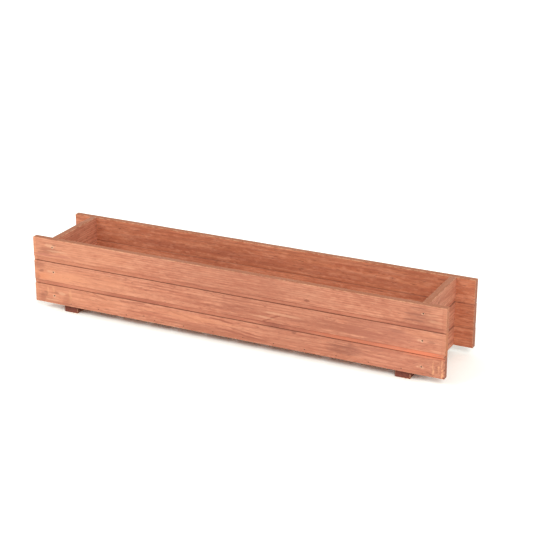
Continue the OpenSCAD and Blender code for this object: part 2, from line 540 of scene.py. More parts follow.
def weather(piece, along_x, number, rough=1.0):
    """Moves the points of a placed piece a little, with a part of the noise that no other piece has."""
    guide.scale = (GRAIN_STRETCH, 1, 1) if along_x else (1, GRAIN_STRETCH, 1)
    guide.location = [number * step for step in NOISE_STEP]
    bpy.context.view_layer.update()
    wear = ((waves, WAVE_DEPTH, "sides", 0.5), (ridges, RIDGE_DEPTH * rough, "sides", 0.5),
            (chips, -CHIP_DEPTH, "arrises", 0.0))
    for texture, depth, group, level in wear:
        finish_with(piece, "DISPLACE", texture=texture, texture_coords="OBJECT", texture_coords_object=guide,
                    strength=depth, mid_level=level, vertex_group=group)
    bpy.ops.object.shade_smooth_by_angle(angle=math.radians(WOOD_CREASE))


def dress(node, blank, place, turn, number, rough=1.0):
    """Copies a blank to a node's place, wears it, and lets it stand for the node."""
    piece = copy_to(blank, node + "_wood", place, turn)
    weather(piece, turn[2] % 180 == 0, number, rough)
    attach(piece, "root")
    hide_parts(node)
    return piece


# %% [markdown]
# ## Every board in its place
# A front board stands as it was drawn. The rear wall is the front wall turned half round, and the end walls
# are turned a quarter. Each copy has a mesh of its own and its own part of the noise, so no two boards are
# alike. At the end, the box of every new piece is set against its node's.

# %% Place the boards, slats and feet
TURN = {"front": 0, "rear": 180, "left_end": -90, "right_end": 90}
SLAT_ROUGH, FOOT_ROUGH = 1.6, 2.0  # sawn wood against planed wood
pieces = {}
for course in COURSES:
    for wall, turn in TURN.items():
        node = f"{wall}_board_{course}"
        low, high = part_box(node)
        place = {"front": (0, low.y, low.z), "rear": (0, high.y, low.z),
                 "left_end": (low.x, 0, low.z), "right_end": (high.x, 0, low.z)}[wall]
        blank = blanks["front" if wall in ("front", "rear") else "left_end", course]
        pieces[node] = dress(node, blank, place, (0, 0, turn), len(pieces) + 1)
for node in (*slat_nodes, "left_foot", "right_foot"):
    low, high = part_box(node)
    if node in slat_nodes:
        blank, slot, rough = blanks.get(node, blanks["floor_slat_1"]), "floor_wood", SLAT_ROUGH
    else:
        blank, slot, rough = blanks["foot"], "foot_wood", FOOT_ROUGH
    pieces[node] = dress(node, blank, (high.x, 0, low.z), (0, 0, 90), len(pieces) + 1, rough)

worst = 0.0
for node, piece in pieces.items():
    for corner, own_corner in zip(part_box(node), (piece.bound_box[0], piece.bound_box[6])):
        worst = max(worst, *(abs(a - b) for a, b in zip(corner, own_corner)))
assert worst < 0.001
print(len(pieces), "boards, slats and feet placed, each within", round(worst * 1000, 2), "mm of its node")

# %% [markdown]
# ## The nails in their holes
# Every nail of one kind is a copy of one blank, and the nails of one wall are joined to one piece, as they
# are one node in the model. Their heads end up half a millimetre down in the drilled holes. After that the
# blanks and the drills have done their work and are thrown away.

# %% Drive the nails
INTO_BACK = (90, 0, 0)
NAIL_CREASE = 40
wall_nail = nail_blank("wall_nail", HEAD_R, SHANK_R, nails_high.y - nails_low.y)
floor_pin = nail_blank("floor_pin", PIN_HEAD_R, PIN_R, pins_high.y - pins_low.y)
foot_nail = nail_blank("foot_nail", HEAD_R, SHANK_R, foot_nails_high.z - foot_nails_low.z)
nails = {}


def drive(node, blank, seats):
    """Copies a nail to each seat, joins the copies, and lets them stand for the node."""
    only(*[copy_to(blank, node + "_turned", place, turn) for place, turn in seats])
    bpy.ops.object.join()
    piece = bpy.context.object
    piece.name = node + "_turned"
    bpy.ops.object.shade_smooth_by_angle(angle=math.radians(NAIL_CREASE))
    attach(piece, "root")
    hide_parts(node)
    nails[node] = piece
    print(node, "has", len(seats), "nails")


wall_z = [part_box(f"front_board_{course}")[0].z + NAIL_UP[course] for course in COURSES]
pin_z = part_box("front_board_bottom")[0].z + pin_up
for wall, turn, flip in (("front", INTO_FACE, 1), ("rear", INTO_BACK, -1)):
    wall_seats = [((side * wall_nail_x, flip * nails_low.y, z), turn) for side in (-1, 1) for z in wall_z]
    drive(f"{wall}_wall_nails", wall_nail, wall_seats)
    drive(f"{wall}_floor_pins", floor_pin, [((x, flip * pins_low.y, pin_z), turn) for x in slat_x])
foot_x = [middle_x(node) for node in ("left_foot", "right_foot")]
foot_seats = [((x, y, foot_nails_high.z), INTO_TOP) for x in foot_x for y in (-FOOT_NAIL_Y, FOOT_NAIL_Y)]
drive("foot_nails", foot_nail, foot_seats)

drills = (wall_drill, pin_drill, end_drill, slat_drill, foot_drill)
for spare in (*blanks.values(), *drills, wall_nail, floor_pin, foot_nail, guide):
    bpy.data.objects.remove(spare)

# %% [markdown]
# ## Writing a material as a recipe
# A material is a tree of nodes. Drawn by hand it is a picture, but in a script it reads better as a recipe:
# each line adds one node, names what goes into it and keeps what comes out.

# %% Recipe helpers
def paint(code):
    """A colour written as on a screen, such as #D28C6A, in the linear values that a shader works with."""
    parts = [int(code[i:i + 2], 16) / 255 for i in (1, 3, 5)]
    return (*[c / 12.92 if c <= 0.04045 else ((c + 0.055) / 1.055) ** 2.4 for c in parts], 1.0)


class Recipe:
    """The nodes of a material or a sky, added one line at a time."""

    def __init__(self, owner):
        owner.use_nodes = True
        self.owner = owner
        self.tree = owner.node_tree

    def add(self, kind, inputs, output=0, **settings):
        """Adds a node, sets or links its inputs, and returns one of its outputs."""
        node = self.tree.nodes.new("ShaderNode" + kind)
        for key, value in settings.items():
            setattr(node, key, value)
        self.feed(node, inputs)
        return node.outputs[output]

    def feed(self, node, inputs):
        """Sets or links the inputs of a node, which may be given by its name."""
        if isinstance(node, str):
            node = self.tree.nodes[node]
        for key, value in inputs.items():
            if isinstance(value, bpy.types.NodeSocket):
                self.tree.links.new(value, node.inputs[key])
            else:
                node.inputs[key].default_value = value

    def maths(self, operation, *values):
        """A sum, product or other function of numbers."""
        return self.add("Math", dict(enumerate(values)), operation=operation)

    def vector(self, operation, *values):
        """A sum, product or other function of places."""
        return self.add("VectorMath", dict(enumerate(values)), operation=operation)

    def split(self, value):
        """The X, Y and Z of a place."""
        return self.add("SeparateXYZ", {0: value}).node.outputs

    def between(self, value, low, high, to_low=0.0, to_high=1.0):
        """Spreads a value between two limits, with soft ends."""
        return self.add("MapRange", {"Value": value, "From Min": low, "From Max": high, "To Min": to_low,
                                     "To Max": to_high}, interpolation_type="SMOOTHSTEP")

    def noise(self, where, features, detail=3.0, output="Fac"):
        """Noise with so many features a metre along X, Y and Z."""
        place = self.add("Mapping", {"Vector": where, "Scale": features})
        return self.add("TexNoise", {"Vector": place, "Scale": 1.0, "Detail": detail, "Roughness": 0.6},
                        output=output)

    def oval(self, where, middle, half, profile="SPHERICAL", rise=0.0):
        """A patch, 1 in its middle and 0 from its rim outwards, that may rise towards +X by an angle."""
        place = self.add("Mapping", {"Vector": where, "Location": middle, "Rotation": (0, -rise, 0),
                                     "Scale": half}, vector_type="TEXTURE")
        return self.add("TexGradient", {"Vector": place}, output="Fac", gradient_type=profile)

    def glaze(self, colour, amount, code, *limits):
        """Lays a colour over another, as far as the product of an amount and its limits says."""
        for limit in limits:
            amount = self.maths("MULTIPLY", amount, limit)
        return self.add("Mix", {0: amount, 6: colour, 7: paint(code)}, output=2, data_type="RGBA")


print("a shader reads #D28C6A as", [round(part, 3) for part in paint("#D28C6A")])

# %% [markdown]
# ## One frame for all the wood
# All wooden pieces share one recipe. It works in the piece's own frame, with its grain along X, its
# thickness along Y and its middle at the origin, so the same distances hold for a board of the front wall
# and for one of an end wall. A second frame is that of the log, where each piece has a place of its own, so
# that no two show the same grain.
#
# Two noises keep what is drawn on the wood from looking drawn: one shakes its outline, and the other tears
# it into streaks along the grain.

# %% A piece's own frame
LOG_STEP = (1.37, 0.19, 0)  # from one piece to the next
FACE_FADE = (0.004, 0.002)  # what lies on the outer face fades in between these depths under it
BLUR = 0.0004
SWAY_FEATURES, SWAY = (60, 160, 160), (0.010, 0, 0.005)
TEAR_FEATURES, TEAR_GAIN, TEAR_SHIFT = (16, 230, 230), 5.0, -1.5
BAND_STOP = (0.0046, 0.0056)  # streaks along a band stop this far before the end


class Wood(Recipe):
    """The recipe of one wooden piece. It knows where each point lies and holds the colour laid so far."""

    def __init__(self, node, number):
        super().__init__(bpy.data.materials.new(node + "_stain"))
        self.node, self.number = node, number
        self.course = node.split("_")[-1] if "board" in node else None
        self.in_long_wall = node.startswith(("front", "rear"))
        self.outward = 1 if node.startswith(("rear", "right_end")) else -1
        self.colour = None
        self.find_own_frame()
        self.find_faces()
        self.shake_and_tear()

    def find_own_frame(self):
        """Lays the grain along X and the middle at the origin, and gives the piece its place in the log."""
        low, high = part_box(self.node)
        if self.course in ("bottom", "middle"):
            high.z -= TONGUE_H
        self.half = (high - low) / 2
        turn = 0 if self.in_long_wall else math.radians(90)
        if turn:
            self.half.x, self.half.y = self.half.y, self.half.x
        middle = Euler((0, 0, turn)).to_matrix() @ ((low + high) / 2)
        place = self.add("TexCoord", {}, output="Object")
        self.own = self.add("Mapping", {"Vector": place, "Location": -middle, "Rotation": (0, 0, turn)})
        self.log_place = [self.number * step for step in LOG_STEP]
        self.log = self.vector("ADD", self.own, self.log_place)

    def find_faces(self):
        """Measures how far each point lies from the faces of the piece's box."""
        _, self.through, up = self.split(self.own)
        self.from_low = self.maths("ADD", up, self.half.z)
        self.from_top = self.maths("SUBTRACT", self.half.z, up)
        self.depth = self.maths("MULTIPLY", self.through, self.outward)
        self.on_face = self.between(self.depth, *(self.half.y - inside for inside in FACE_FADE))
        self.on_band = self.between(self.from_low, STEP_H + BLUR, STEP_H - BLUR)
        self.outside = self.split(self.vector("SUBTRACT", self.vector("ABSOLUTE", self.own), self.half))

    def shake_and_tear(self):
        """Adds a shaken copy of the own frame, and streaks that run along the grain."""
        sway = self.noise(self.own, SWAY_FEATURES, output="Color")
        sway = self.vector("SUBTRACT", sway, (0.5, 0.5, 0.5))
        self.ragged = self.vector("MULTIPLY_ADD", sway, SWAY, self.own)
        self.ragged_along = self.split(self.ragged)[0]
        tear = self.noise(self.own, TEAR_FEATURES, detail=4.0)
        self.tear = self.maths("MULTIPLY_ADD", tear, TEAR_GAIN, TEAR_SHIFT)
        self.before_end = self.between(self.ragged_along, *(self.half.x - inside for inside in BAND_STOP))

    def spot(self, x, up):
        """Turns millimetres from the left end and the lower edge into a place in the own frame."""
        return x / 1000 - self.half.x, up / 1000 - self.half.z

    def lay(self, amount, code, *limits):
        """Lays a colour over what is there, as far as the product of an amount and its limits says."""
        self.colour = self.glaze(self.colour, amount, code, *limits)

    def line(self, distance, look, *limits):
        """Lays a line along an edge. Its look is its end, its full width, its strength and its tone."""
        ends, full, strength, code = look
        self.lay(self.between(distance, ends, full, 0.0, strength), code, *limits)


# %% [markdown]
# ## The rings of the tree
# Every board is a slice through the rings of a trunk. A flat picture of grain on each face would not meet
# itself at the arrises, so the rings are a pattern in space instead: a wave that runs out from the middle
# line of the tree, which lay some centimetres behind the board. Low noise bends that line, and a knot draws
# the rings in around it. The saw then does what it does in the mill, and a face shows long lines or arches
# where its end shows arcs.

# %% Growth rings
RING_W = 0.0040
WAVE_RING_W = math.tau / 20  # the width of a ring of the Wave Texture at a scale of 1
WANDER_FEATURES, WANDER = (1.6, 8, 8), 0.008
KNOT_PULL, KNOT_REACH, KNOT_STRETCH = 0.62, 4.5, 2.4
RING_GREYS = ((0.10, 0.0), (0.55, 0.18), (0.88, 1.0))  # places across a ring and their greys
RING_START, RING_STOP = 0.35, 0.45  # the greys where two rings meet


def growth_rings(wood, pith, knots):
    """Grey from 0 in the spring wood of a ring to 1 in its summer wood."""
    along, across, _ = wood.log_place
    wander = wood.noise(wood.log, WANDER_FEATURES, detail=2.0, output="Color")
    bent = wood.vector("MULTIPLY_ADD", wander, (0, WANDER, WANDER), wood.log)
    for x, up, radius, _ in knots:
        heart, reach = (x + along, across, up), radius * KNOT_REACH
        hold = wood.oval(wood.log, heart, (reach * KNOT_STRETCH, 1, reach), profile="QUADRATIC_SPHERE")
        away = wood.vector("SUBTRACT", bent, heart)
        bent = wood.vector("MULTIPLY_ADD", away, wood.maths("MULTIPLY", hold, -KNOT_PULL), bent)
    tree = wood.vector("SUBTRACT", bent, (0, pith[0] + across, pith[1]))
    rings = wood.add("TexWave", {"Vector": tree, "Scale": WAVE_RING_W / RING_W, "Distortion": 0.9,
                                 "Detail": 2.0, "Detail Scale": 1.2},
                     output="Fac", wave_type="RINGS", rings_direction="X", wave_profile="SAW")
    summer = wood.add("ValToRGB", {"Fac": rings})
    ramp = summer.node.color_ramp
    for place, grey in RING_GREYS:
        ramp.elements.new(place).color = (grey, grey, grey, 1)
    ramp.elements[0].color = (RING_START, RING_START, RING_START, 1)
    ramp.elements[-1].color = (RING_STOP, RING_STOP, RING_STOP, 1)
    return summer


print("rings", RING_W * 1000, "mm wide")

# %% [markdown]
# ## A thin stain on softwood
# A thin stain doesn't hide the wood. Where the surface is open it soaks in and darkens, and where it is
# dense it stays pale, so the colour clouds over a hand's breadth, streaks and mottles over a finger's, and
# shows every fibre. Each of these is one noise at its own scale, long along the grain and short across it,
# and each is laid as a coat over those before it. One colour with one noise would look printed.

# %% Stain
LINE_TONE, FLECK_TONE, PALE_TONE = "#A05C47", "#7F4A39", "#F3B08C"
SUMMER_AMOUNT = 0.4
# Each noise: its features a metre along the grain, through the board and up it, and its detail
STAIN_NOISES = {
    "patches": ((9, 40, 40), 3.0), "clouds": ((2.6, 9, 9), 1.0), "streaks": ((8, 150, 150), 3.0),
    "mottle": ((60, 190, 190), 3.0), "fibres": ((11, 560, 560), 3.0), "flecks": ((60, 560, 560), 1.0)}
# Each coat: its noise, the noise at which it starts and is full, its strength when full, and its tone
UNDERCOATS = (("patches", 0.36, 0.64, 1.0, "light"), ("clouds", 0.45, 0.75, 0.55, "dark"),
              ("streaks", 0.50, 0.66, 0.31, "pale"), ("streaks", 0.50, 0.34, 0.31, "dark"),
              ("mottle", 0.50, 0.66, 0.35, "pale"), ("mottle", 0.50, 0.34, 0.35, "dark"))
FINE_COATS = (("fibres", 0.46, 0.72, 0.4, "line"), ("flecks", 0.64, 0.74, 0.6, "fleck"))


def stain(wood, summer, light, middle, dark):
    """Lays the stain, and returns its noises, because the gloss and the relief follow them too."""
    tones = {"light": light, "dark": dark, "pale": PALE_TONE, "line": LINE_TONE, "fleck": FLECK_TONE}
    noises = {name: wood.noise(wood.log, *look) for name, look in STAIN_NOISES.items()}
    wood.colour = paint(middle)
    for name, start, full, strength, tone in UNDERCOATS:
        wood.lay(wood.between(noises[name], start, full, 0.0, strength), tones[tone])
    wood.lay(summer, LINE_TONE, SUMMER_AMOUNT)
    for name, start, full, strength, tone in FINE_COATS:
        wood.lay(wood.between(noises[name], start, full, 0.0, strength), tones[tone])
    return noises


print(len(UNDERCOATS) + len(FINE_COATS), "coats of stain, and one for the summer wood")

# %% [markdown]
# ## Stain, wear and painted shade near the edges
# Four things change the colour near an edge. End grain drinks the stain, goes dark and shows its rings and
# pores, and the upper edge of the wall is darkened as painted shade. The band under each step is laid darker
# and redder, with a thin painted shadow just under the step. The joints are darkened as painted shade, and
# no hand rubs there. And the arrises are rubbed pale, with dirt in places.
#
# An arris is where two faces of the piece's own box are near at once. So of a point's distances to the box
# along X, Y and Z, the second smallest finds all arrises. It is the middle one of three numbers, which is
# the largest of the smaller ones of each pair.

# %% Bands, joints, end grain and arrises
# DIRT_AND_SHADE_TONE is painted shade in the joints, and dirt on the arrises
BAND_TONE, DIRT_AND_SHADE_TONE, WORN_TONE = "#B8684F", "#4E2D22", "#F3BE93"
TOP_EDGE_SHADE_TONE, END_LINE_TONE = "#A0613F", "#5A3226"
BAND_AMOUNT, END_AMOUNT, STEP_SHADE_DOWN = 0.34, 0.85, 0.0010
OUTER_FADE = (0.0, 0.001)  # from the middle of the board's thickness outwards
SHELTERED = (0.002, 0.006)  # a hand rubs nothing nearer to a joint than the first, all past the second
END_FADE, ARRIS_FULL = (-0.0009, -0.0002), -0.0002
PORE_FEATURES, ARC_FEATURES, SPECK_FEATURES = (0, 900, 900), (0, 60, 60), (130, 220, 220)
# The noise from and to which each of these shows, and how strongly there
PORES, ARC_CLEARNESS = (0.52, 0.66, 0.0, 0.5), (0.35, 0.65, 0.1, 0.5)
PALE_SPECKS, DIRTY_SPECKS = (0.44, 0.58, 0.0), (0.42, 0.32, 0.0, 0.6)
# All these lines are painted shade: a thin shadow under the step, the foot of the band and the gap of a
# joint, the top of the board under a joint, and the upper edge of the wall
# Each line along an edge: how far from it the line ends, where it is full, its strength and its tone
STEP_SHADE = (0.0016, 0.0004, 0.15, LINE_TONE)
BAND_PAINTED_SHADE, GAP_PAINTED_SHADE = (0.0030, 0.0008, 0.35, DIRT_AND_SHADE_TONE), (0.0010, 0.0002, 0.55, DIRT_AND_SHADE_TONE)
JOINT_TOP_PAINTED_SHADE, TOP_EDGE_PAINTED_SHADE = (0.0014, 0.0002, 0.40, DIRT_AND_SHADE_TONE), (0.0010, 0.0002, 0.75, TOP_EDGE_SHADE_TONE)


def shade_joints(wood):
    """Darkens the band, lays painted shade under the step and in the joints, and returns where a hand can
    rub: 0 in a joint, 1 away from it.
    """
    rubbed = 1.0
    if wood.course in ("middle", "top"):
        outer = wood.between(wood.depth, *OUTER_FADE)
        wood.lay(outer, BAND_TONE, wood.on_band, BAND_AMOUNT)
        # a thin painted shadow just under the step
        off_step = wood.maths("SUBTRACT", wood.from_low, STEP_H - STEP_SHADE_DOWN)
        wood.line(wood.maths("ABSOLUTE", off_step), STEP_SHADE, outer)
        # painted shade along the foot of the band and in the gap of the joint
        wood.line(wood.from_low, BAND_PAINTED_SHADE, outer)
        wood.line(wood.from_low, GAP_PAINTED_SHADE)
        rubbed = wood.between(wood.from_low, *SHELTERED)
    if wood.course in ("bottom", "middle"):
        # painted shade on the top of this board, under the joint above it
        wood.line(wood.from_top, JOINT_TOP_PAINTED_SHADE)
        rubbed = wood.maths("MULTIPLY", rubbed, wood.between(wood.from_top, *SHELTERED))
    return rubbed


def darken_ends(wood, summer, tone):
    """Soaks the two sawn ends, and draws the arcs of the rings and the pores on them."""
    end = wood.between(wood.outside[0], *END_FADE)
    wood.lay(end, tone, END_AMOUNT)
    pores = wood.between(wood.noise(wood.own, PORE_FEATURES, detail=1.0), *PORES)
    clearness = wood.between(wood.noise(wood.own, ARC_FEATURES), *ARC_CLEARNESS)
    arcs = wood.maths("MULTIPLY", summer, clearness)
    wood.lay(wood.maths("MAXIMUM", arcs, pores), END_LINE_TONE, end)


def rub_arrises(wood, rubbed, width, rub):
    """Rubs the arrises pale in specks, and leaves dirt on some of them."""
    out = wood.outside
    pairs = [wood.maths("MINIMUM", out[a], out[b]) for a, b in ((0, 1), (1, 2), (0, 2))]
    second = wood.maths("MAXIMUM", wood.maths("MAXIMUM", pairs[0], pairs[1]), pairs[2])
    near = wood.maths("MULTIPLY", wood.between(second, -width, ARRIS_FULL), rubbed)
    specks = wood.noise(wood.own, SPECK_FEATURES)
    wood.lay(near, WORN_TONE, wood.between(specks, *PALE_SPECKS, rub))
    wood.lay(near, DIRT_AND_SHADE_TONE, wood.between(specks, *DIRTY_SPECKS))


# %% [markdown]
# ## Wiped ends
# Next to each sawn end of a long board, a strip less than a centimetre wide was wiped with a rag, and a
# thin line shows where the rag stopped. It could be one more mark like those that follow, but all six long
# boards have one at both ends, so it gets a rule of its own.

# %% Strips at the ends of the long boards
# Left and right end, seen from outside: the strip's width, amount and tone, and its line's strength
STRIPS = ((-1, 0.0078, 0.40, "#F2A478", 0.16), (1, 0.0080, 0.45, "#D2896A", 0.12))
STRIP_BLUR, STRIP_LINE_ENDS, STRIP_LINE_FULL = 0.0008, 0.0022, 0.0004


def wipe_end(wood, side, width, amount, tone, line_strength):
    """Adds the strip that was wiped at one end of a long board, and the line where the rag stopped."""
    from_end = wood.maths("MULTIPLY_ADD", wood.ragged_along, side * wood.outward, wood.half.x)
    wood.line(from_end, (width + STRIP_BLUR, width - STRIP_BLUR, amount, tone), wood.on_face)
    off_line = wood.maths("ABSOLUTE", wood.maths("SUBTRACT", from_end, width))
    line = (STRIP_LINE_ENDS, STRIP_LINE_FULL, line_strength, LINE_TONE)
    wood.line(off_line, line, wood.on_face, wood.tear)


print("wiped strips", [strip[1] * 1000 for strip in STRIPS], "mm wide")

# %% [markdown]
# ## Marks that belong to one place
# Handling leaves marks that no even noise gives: a dark smudge by a nail, pale strokes where a filler was
# wiped off, a streak where fresh stain ran along a band, a nick in an end. These are placed one by one on the
# front wall, from the left end and up from each board's lower edge, in millimetres. A painted texture could
# hold them too, but ovals stay sharp at any size and can be moved with a number.
# Some marks paint light and shade on the wood: the large lit_and_pale marks light the left ends of the
# boards, the broad shade marks shade the middle and right of the upper boards, and the band_shade_and_stain
# marks shade the band in part.

# %% Marks on the front wall
# The large lit_and_pale marks at the left ends are painted light; the small ones lighten the stain.
MARK_TONES = {"smudge": "#8F5847", "shade": "#AD6A52", "pale": "#F9C49C", "lit_and_pale": "#F0A67E",
              "rosy": "#C67C66", "flame": "#E98864", "ember": "#E88C68", "stroke": "#F6B686",
              "orange": "#E0805C", "apricot": "#F4996B", "nick": "#6E3A2E", "halo": "#F0BF9C",
              "band_shade_and_stain": "#A8604B"}
# band_shade_and_stain marks darken the band under the step: stain, and painted shade in part
BAND_MARKS = ("flame", "orange", "band_shade_and_stain")  # these keep to the band under the step
FIRM_MARKS = ("stroke", "nick")  # the grain tears these less
# The broad shade marks over the middle and right of the top and middle boards are painted shade; the small
# ones darken the stain.
# For each board: the kind of mark, its middle, half its length and height, and its strength
MARKS = {
    "front_board_top": [
        ("lit_and_pale", 60, 28, 300, 60, 0.30), ("shade", 40, 30, 40, 9, 0.6), ("shade", 26, 22, 22, 5, 0.6),
        ("pale", 46, 41, 20, 5, 0.35), ("smudge", 57, 43, 7, 3, 0.4), ("pale", 64, 29, 40, 3, 0.4),
        ("rosy", 30, 17, 44, 4, 0.7), ("rosy", 82, 19, 30, 4, 0.6), ("shade", 60, 46, 60, 4, 0.4),
        ("shade", 560, 24, 260, 60, 0.35), ("shade", 962, 24, 46, 44, 0.45),
        ("band_shade_and_stain", 950, 5, 100, 26, 0.5), ("smudge", 955, 46, 34, 3, 0.45),
        ("smudge", 972, 40, 30, 2.5, 0.4), ("smudge", 950, 33, 36, 3, 0.4),
        ("smudge", 975, 27, 34, 2.5, 0.4), ("smudge", 948, 20, 30, 3, 0.5),
        ("pale", 985, 36, 26, 3, 0.25), ("pale", 990, 23, 24, 4, 0.25)],
    "front_board_middle": [
        ("lit_and_pale", 80, 24, 280, 40, 0.35), ("pale", 43, 34, 11, 4, 0.4), ("smudge", 19, 33, 10, 5, 0.5),
        ("shade", 11, 48, 24, 12, 0.5), ("apricot", 24, 21, 30, 12, 0.4), ("shade", 4, 17, 14, 14, 0.35),
        ("rosy", 88, 5, 60, 12, 0.35), ("lit_and_pale", 92, 22, 80, 18, 0.6), ("shade", 540, 32, 90, 34, 0.35),
        ("shade", 650, 26, 330, 60, 0.3), ("pale", 640, 33, 60, 4, 0.3), ("smudge", 622, 6, 40, 6, 0.45),
        ("pale", 590, 20, 46, 3, 0.35), ("shade", 800, 30, 110, 16, 0.4),
        ("shade", 760, 20, 190, 26, 0.3), ("shade", 850, 34, 110, 40, 0.45),
        ("smudge", 984, 34, 14, 5, 0.55), ("pale", 958, 33.5, 4.5, 3, 0.6),
        ("smudge", 908, 46, 26, 6, 0.4), ("lit_and_pale", 965, 48, 60, 8, 0.45),
        ("nick", 1015.5, 6, 1.8, 4, 0.9), ("nick", 1015.5, 16, 1.2, 5, 0.5),
        ("rosy", 900, 28, 140, 44, 0.3), ("band_shade_and_stain", 30, 7, 70, 16, 0.3),
        ("band_shade_and_stain", 255, 5, 130, 26, 0.5), ("band_shade_and_stain", 630, 5, 190, 26, 0.35),
        ("orange", 820, 4, 150, 26, 0.45), ("flame", 962, 2, 90, 17, 1.0),
        ("flame", 905, 2, 60, 15, 0.35)],
    "front_board_bottom": [
        ("lit_and_pale", 70, 30, 240, 50, 0.3), ("shade", 10, 8, 60, 24, 0.3), ("shade", 690, 8, 170, 26, 0.4),
        ("shade", 630, 34, 180, 18, 0.28), ("stroke", 35, 30, 3, 18, 0.4),
        ("stroke", 50, 36, 4, 10, 0.35), ("pale", 74, 28, 12, 6, 0.4), ("stroke", 96, 24, 5, 26, 0.35),
        ("smudge", 24, 19, 18, 6, 0.38), ("smudge", 30, 26, 10, 5, 0.4), ("smudge", 57, 28, 10, 4, 0.35),
        ("shade", 88, 12, 20, 20, 0.4), ("pale", 46, 9, 30, 3, 0.35), ("shade", 20, 10, 9, 24, 0.4),
        ("shade", 110, 4, 80, 4, 0.5), ("shade", 470, 10, 190, 13, 0.5),
        ("lit_and_pale", 400, 31, 170, 12, 0.4), ("smudge", 792, 27, 60, 20, 0.5),
        ("smudge", 780, 36, 44, 9, 0.4), ("smudge", 640, 44, 60, 3, 0.45),
        ("smudge", 850, 38, 44, 6, 0.3), ("rosy", 900, 22, 130, 40, 0.3),
        ("pale", 957.5, 18.5, 5, 2.6, 0.85), ("pale", 968, 18, 6, 2.6, 0.4),
        ("stroke", 990, 22, 2.4, 22, 0.4), ("stroke", 991, 12, 3, 7, 0.7),
        ("stroke", 1002.5, 18, 2.2, 12, 0.4), ("stroke", 1003, 26, 4, 5, 0.5),
        ("stroke", 1010, 32, 1.8, 14, 0.6), ("stroke", 1011, 20, 2, 5, 0.9),
        ("stroke", 1010.5, 9, 2.2, 10, 0.8), ("smudge", 981, 9, 13, 3, 0.6),
        ("smudge", 987, 6, 8, 2.5, 0.5), ("ember", 950, 45, 90, 5, 0.55),
        ("smudge", 998, 20, 5, 12, 0.35), ("nick", 1015.5, 39, 1.6, 3, 0.8),
        ("nick", 1015.5, 21, 1.8, 3.5, 0.9), ("nick", 1015, 3, 3, 3, 0.8),
        ("nick", 1015.5, 30, 1, 5, 0.5), ("nick", 1015.5, 11, 1, 5, 0.5)]}
HALO = (5.2, 4.6, 0.7)  # half the length and height of the pale ring round a nail, and its strength
print(sum(len(marks) for marks in MARKS.values()), "marks on the front wall")

# %% [markdown]
# ## Drawing marks, knots and grain lines
# A mark is an oval that the grain tears into streaks, and it lies on the outer face only. A knot goes right
# through its board. It is an oval too, with two dark rings that a value running to and fro draws between
# its heart and its rim. Where the saw ran out of the grain, long lines slope across the board. Those are
# ovals as thin as a pencil line, turned to run from one place to another.

# %% Draw marks, knots and grain lines
KNOT_TONE, KNOT_RIM = "#8C5540", "#5E3427"
# Where each of these starts and is full, on the way from an oval's rim, at 0, to its middle, at 1
MARK_FADE, HEART_FADE, RIM_FADE, LINE_FADE = (0.08, 0.6), (0.0, 0.6), (0.1, 0.4), (0.0, 0.3)
# For each board: a knot's middle, its radius and its darkness
KNOTS = {"front_board_top": [(700, 20, 4.0, 0.7)],
         "front_board_middle": [(78, 25, 1.8, 0.9), (93, 24, 1.4, 0.8), (622, 5, 8.0, 0.35)],
         "front_board_bottom": [(292, 12, 2.0, 0.5), (93, 4, 1.4, 0.8), (670, 42, 4.0, 0.5)]}
LINE_HALF = 0.0024
# For each board: where a line starts and ends, and its strength
GRAIN_LINES = {
    "front_board_middle": [
        (500, 28, 576, 40, 0.6), (590, 8, 640, 33, 0.85), (650, 22, 710, 29, 0.45), (290, 44, 390, 40, 0.45),
        (700, 41, 790, 36, 0.4)],
    "front_board_bottom": [
        (146, 48, 202, 31, 0.65), (226, 38, 306, 43, 0.6), (345, 40, 450, 24, 0.55), (455, 41, 530, 35, 0.75),
        (470, 20, 620, 6, 0.65), (500, 27, 610, 13, 0.55), (790, 25, 890, 21, 0.45)]}


def draw_mark(wood, kind, x, up, long, high, strength):
    """Lays one mark over the colour, torn along the grain and on the outer face only."""
    x, up = wood.spot(x, up)
    patch = wood.oval(wood.ragged, (x, 0, up), (long / 1000, 1, high / 1000))
    streaks = wood.maths("MULTIPLY_ADD", wood.tear, 0.4, 0.6) if kind in FIRM_MARKS else wood.tear
    patch = wood.maths("MULTIPLY", patch, streaks)
    limits = [wood.on_face, wood.on_band, wood.before_end] if kind in BAND_MARKS else [wood.on_face]
    wood.lay(wood.between(patch, *MARK_FADE, 0.0, strength), MARK_TONES[kind], *limits)


def knots_of(wood):
    """A piece's knots in its own frame: those placed by hand, or one that follows its number."""
    number, long, high = wood.number, 2000 * wood.half.x, 2000 * wood.half.z
    x, up = (0.15 + 0.618 * number % 0.7) * long, (0.2 + 0.37 * number % 0.6) * high
    spare = (x, up, 1.6 + 0.5 * (number % 3), 0.65)
    # A piece's knots in its own frame: those listed, or one that follows its number.
    knots = KNOTS.get(wood.node, [spare])
    return [(*wood.spot(x, up), radius / 1000, darkness) for x, up, radius, darkness in knots]


def draw_knot(wood, x, up, radius, darkness):
    """Lays a knot's dark heart over the colour, and the rings around it."""
    heart = wood.oval(wood.ragged, (x, 0, up), (radius * 2, 1, radius))
    wood.lay(wood.between(heart, *HEART_FADE, 0.0, darkness), KNOT_TONE)
    turns = wood.maths("PINGPONG", wood.maths("MULTIPLY", heart, 4.0), 0.5)
    inside = wood.between(heart, *RIM_FADE)
    wood.lay(wood.between(turns, 0.3, 0.5, 0.0, darkness), KNOT_RIM, inside)


